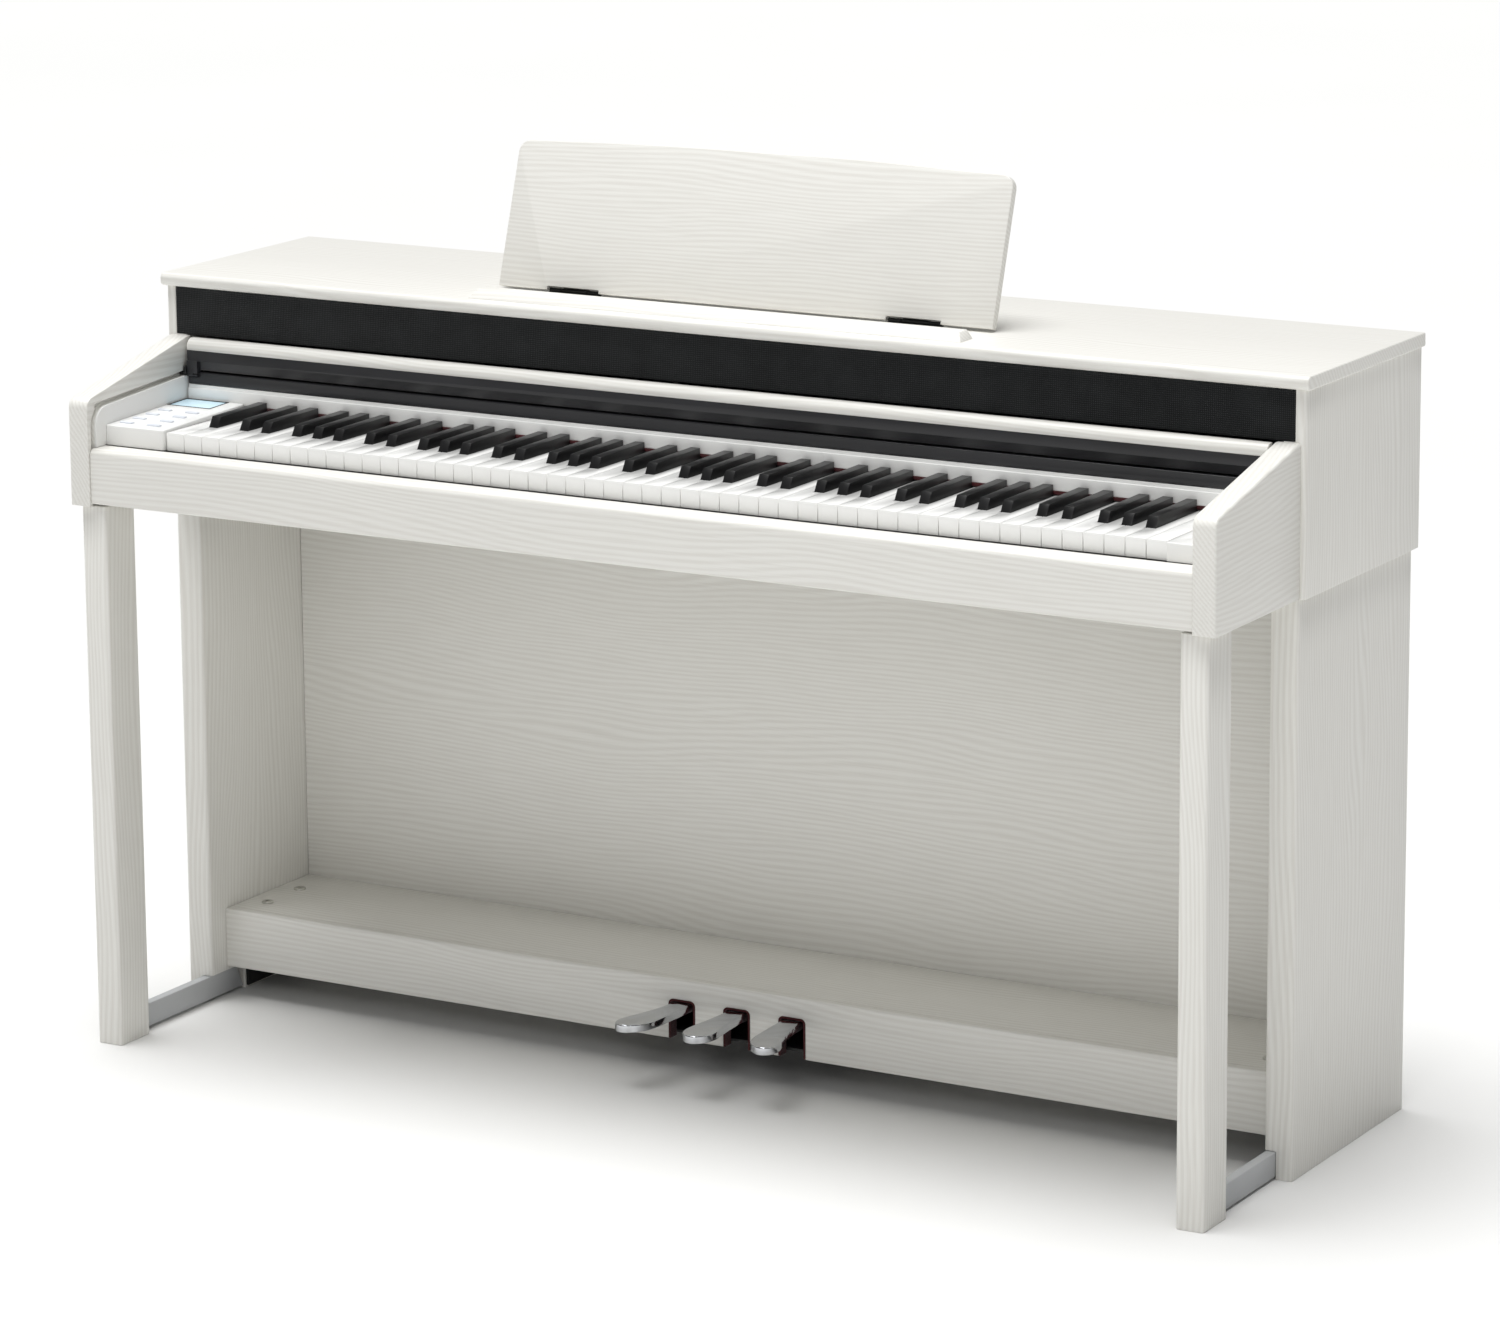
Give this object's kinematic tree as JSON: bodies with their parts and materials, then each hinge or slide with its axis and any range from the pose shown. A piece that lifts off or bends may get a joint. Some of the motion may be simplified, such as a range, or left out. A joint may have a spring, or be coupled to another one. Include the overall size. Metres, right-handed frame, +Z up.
{
  "type": "digital piano",
  "caption": "White upright-cabinet digital piano on its own stand, with a folding slide cover, a hinged music desk and a pedal box.",
  "frame": {"origin": "on the floor, in the middle of the width and the depth", "axes": "+X along the keys from bass to treble, +Y to the back, +Z up"},
  "size_m": [1.42, 0.49, 1.0192],
  "materials": {
    "white_foil": "white ash foil on board, satin",
    "black_cloth": "fine black weave",
    "satin_black": "satin",
    "white_plastic": "semi gloss",
    "button_plastic": "satin",
    "red_felt": "felt",
    "display": "clear over a pale display",
    "steel": "plain",
    "zinc_steel": "zinc plated",
    "black_steel": "satin",
    "grey_paint": "satin",
    "black_plastic": "satin",
    "circuit_board": "solder mask",
    "chrome": "polished",
    "white_keys": "gloss",
    "black_keys": "satin"
  },
  "bodies": {
    "cabinet": {"lid": "white_foil", "cabinet_side_left": "white_foil", "cabinet_side_right": "white_foil", "cabinet_back": "white_foil", "speaker_cloth": "black_cloth", "arm_left": "white_foil", "arm_right": "white_foil", "cover_rails": "white_plastic", "key_slip": "white_foil", "keybed": "white_foil", "name_board": "satin_black", "key_strip": "white_plastic", "felt_strip": "red_felt", "control_panel": "white_plastic", "screen": "display", "right_end_block": "white_plastic", "key_frame": "steel", "stand_side_left": "white_foil", "stand_side_right": "white_foil", "front_legs": "white_foil", "foot_bars": "grey_paint", "foot_brackets": "black_steel", "back_panel": "white_foil", "pedal_box_front": "white_foil", "pedal_box_top": "white_foil", "box_screws": "zinc_steel", "pedal_housing": "black_steel", "pedal_axle": "steel", "desk_ledge": "white_foil", "lid_hinge_leaves": "black_steel", "speakers": "black_plastic", "main_board": "circuit_board", "headphone_box": "black_plastic", "power_inlet": "black_plastic"},
    "key_cover": {"cover_panel": "satin_black", "cover_carriers": "black_plastic"},
    "cover_flap": {"cover_flap": "satin_black", "cover_lip": "white_foil"},
    "desk": {"music_desk": "white_foil", "desk_hinge_hardware": "black_steel"},
    "stays": {"desk_stays": "steel"},
    "pedal_soft": {"pedal_soft": "chrome"},
    "pedal_sostenuto": {"pedal_sostenuto": "chrome"},
    "pedal_damper": {"pedal_damper": "chrome"},
    "volume": {"volume_slider": "black_plastic"},
    "power": {"power_button": "white_plastic"},
    "buttons": {"panel_buttons": "button_plastic"},
    "keys_c": {"keys_c": "white_keys"},
    "keys_d": {"keys_d": "white_keys"},
    "keys_e": {"keys_e": "white_keys"},
    "keys_f": {"keys_f": "white_keys"},
    "keys_g": {"keys_g": "white_keys"},
    "keys_a": {"keys_a": "white_keys"},
    "keys_b": {"keys_b": "white_keys"},
    "keys_c_sharp": {"keys_c_sharp": "black_keys"},
    "keys_d_sharp": {"keys_d_sharp": "black_keys"},
    "keys_f_sharp": {"keys_f_sharp": "black_keys"},
    "keys_g_sharp": {"keys_g_sharp": "black_keys"},
    "keys_a_sharp": {"keys_a_sharp": "black_keys"}
  },
  "joints": [
    {"name": "cover_slide", "type": "slide", "parent": "cabinet", "child": "key_cover", "axis": [0, -0.9982, -0.0593], "range_m": [0, 0.168]},
    {"name": "cover_fold", "type": "hinge", "parent": "key_cover", "child": "cover_flap", "pos_m": [0, -0.06, 0.7422], "axis": [1, 0, 0], "range_deg": [0, 172]},
    {"name": "desk_tilt", "type": "hinge", "parent": "cabinet", "child": "desk", "pos_m": [0, 0.037, 0.856], "axis": [-1, 0, 0], "range_deg": [0, 72.2]},
    {"name": "stay_fold", "type": "hinge", "parent": "desk", "child": "stays", "pos_m": [0, 0.06333, 0.93472], "axis": [1, 0, 0], "range_deg": [0, 144.4]},
    {"name": "pedal_soft_press", "type": "hinge", "parent": "cabinet", "child": "pedal_soft", "pos_m": [0, 0.105, 0.0705], "axis": [1, 0, 0], "range_deg": [0, 4.5], "stiffness_Nm_per_rad": 40, "springref_deg": -3.44},
    {"name": "pedal_sostenuto_press", "type": "hinge", "parent": "cabinet", "child": "pedal_sostenuto", "pos_m": [0, 0.105, 0.0705], "axis": [1, 0, 0], "range_deg": [0, 4.5], "stiffness_Nm_per_rad": 40, "springref_deg": -3.44},
    {"name": "pedal_damper_press", "type": "hinge", "parent": "cabinet", "child": "pedal_damper", "pos_m": [0, 0.105, 0.0705], "axis": [1, 0, 0], "range_deg": [0, 4.5], "stiffness_Nm_per_rad": 40, "springref_deg": -3.44},
    {"name": "volume_slide", "type": "slide", "parent": "cabinet", "child": "volume", "axis": [0, 1, 0], "range_m": [0, 0.034]},
    {"name": "power_press", "type": "slide", "parent": "cabinet", "child": "power", "axis": [0, 0, -1], "range_m": [0, 0.001], "stiffness_N_per_m": 400, "springref_m": -0.0015},
    {"name": "buttons_press", "type": "slide", "parent": "cabinet", "child": "buttons", "axis": [0, 0, -1], "range_m": [0, 0.001], "stiffness_N_per_m": 400, "springref_m": -0.0015},
    {"name": "keys_c_press", "type": "hinge", "parent": "cabinet", "child": "keys_c", "pos_m": [0, 0.017, 0.696], "axis": [1, 0, 0], "range_deg": [0, 2.5], "stiffness_Nm_per_rad": 20, "springref_deg": -6.88},
    {"name": "keys_d_press", "type": "hinge", "parent": "cabinet", "child": "keys_d", "pos_m": [0, 0.017, 0.696], "axis": [1, 0, 0], "range_deg": [0, 2.5], "stiffness_Nm_per_rad": 20, "springref_deg": -6.88},
    {"name": "keys_e_press", "type": "hinge", "parent": "cabinet", "child": "keys_e", "pos_m": [0, 0.017, 0.696], "axis": [1, 0, 0], "range_deg": [0, 2.5], "stiffness_Nm_per_rad": 20, "springref_deg": -6.88},
    {"name": "keys_f_press", "type": "hinge", "parent": "cabinet", "child": "keys_f", "pos_m": [0, 0.017, 0.696], "axis": [1, 0, 0], "range_deg": [0, 2.5], "stiffness_Nm_per_rad": 20, "springref_deg": -6.88},
    {"name": "keys_g_press", "type": "hinge", "parent": "cabinet", "child": "keys_g", "pos_m": [0, 0.017, 0.696], "axis": [1, 0, 0], "range_deg": [0, 2.5], "stiffness_Nm_per_rad": 20, "springref_deg": -6.88},
    {"name": "keys_a_press", "type": "hinge", "parent": "cabinet", "child": "keys_a", "pos_m": [0, 0.017, 0.696], "axis": [1, 0, 0], "range_deg": [0, 2.5], "stiffness_Nm_per_rad": 20, "springref_deg": -6.88},
    {"name": "keys_b_press", "type": "hinge", "parent": "cabinet", "child": "keys_b", "pos_m": [0, 0.017, 0.696], "axis": [1, 0, 0], "range_deg": [0, 2.5], "stiffness_Nm_per_rad": 20, "springref_deg": -6.88},
    {"name": "keys_c_sharp_press", "type": "hinge", "parent": "cabinet", "child": "keys_c_sharp", "pos_m": [0, 0.017, 0.696], "axis": [1, 0, 0], "range_deg": [0, 2.5], "stiffness_Nm_per_rad": 20, "springref_deg": -6.88},
    {"name": "keys_d_sharp_press", "type": "hinge", "parent": "cabinet", "child": "keys_d_sharp", "pos_m": [0, 0.017, 0.696], "axis": [1, 0, 0], "range_deg": [0, 2.5], "stiffness_Nm_per_rad": 20, "springref_deg": -6.88},
    {"name": "keys_f_sharp_press", "type": "hinge", "parent": "cabinet", "child": "keys_f_sharp", "pos_m": [0, 0.017, 0.696], "axis": [1, 0, 0], "range_deg": [0, 2.5], "stiffness_Nm_per_rad": 20, "springref_deg": -6.88},
    {"name": "keys_g_sharp_press", "type": "hinge", "parent": "cabinet", "child": "keys_g_sharp", "pos_m": [0, 0.017, 0.696], "axis": [1, 0, 0], "range_deg": [0, 2.5], "stiffness_Nm_per_rad": 20, "springref_deg": -6.88},
    {"name": "keys_a_sharp_press", "type": "hinge", "parent": "cabinet", "child": "keys_a_sharp", "pos_m": [0, 0.017, 0.696], "axis": [1, 0, 0], "range_deg": [0, 2.5], "stiffness_Nm_per_rad": 20, "springref_deg": -6.88}
  ],
  "couplings": [
    {"joint": "cover_fold", "follows": "cover_slide", "rad_per_m": 17.868},
    {"joint": "stay_fold", "follows": "desk_tilt", "ratio": 2}
  ]
}
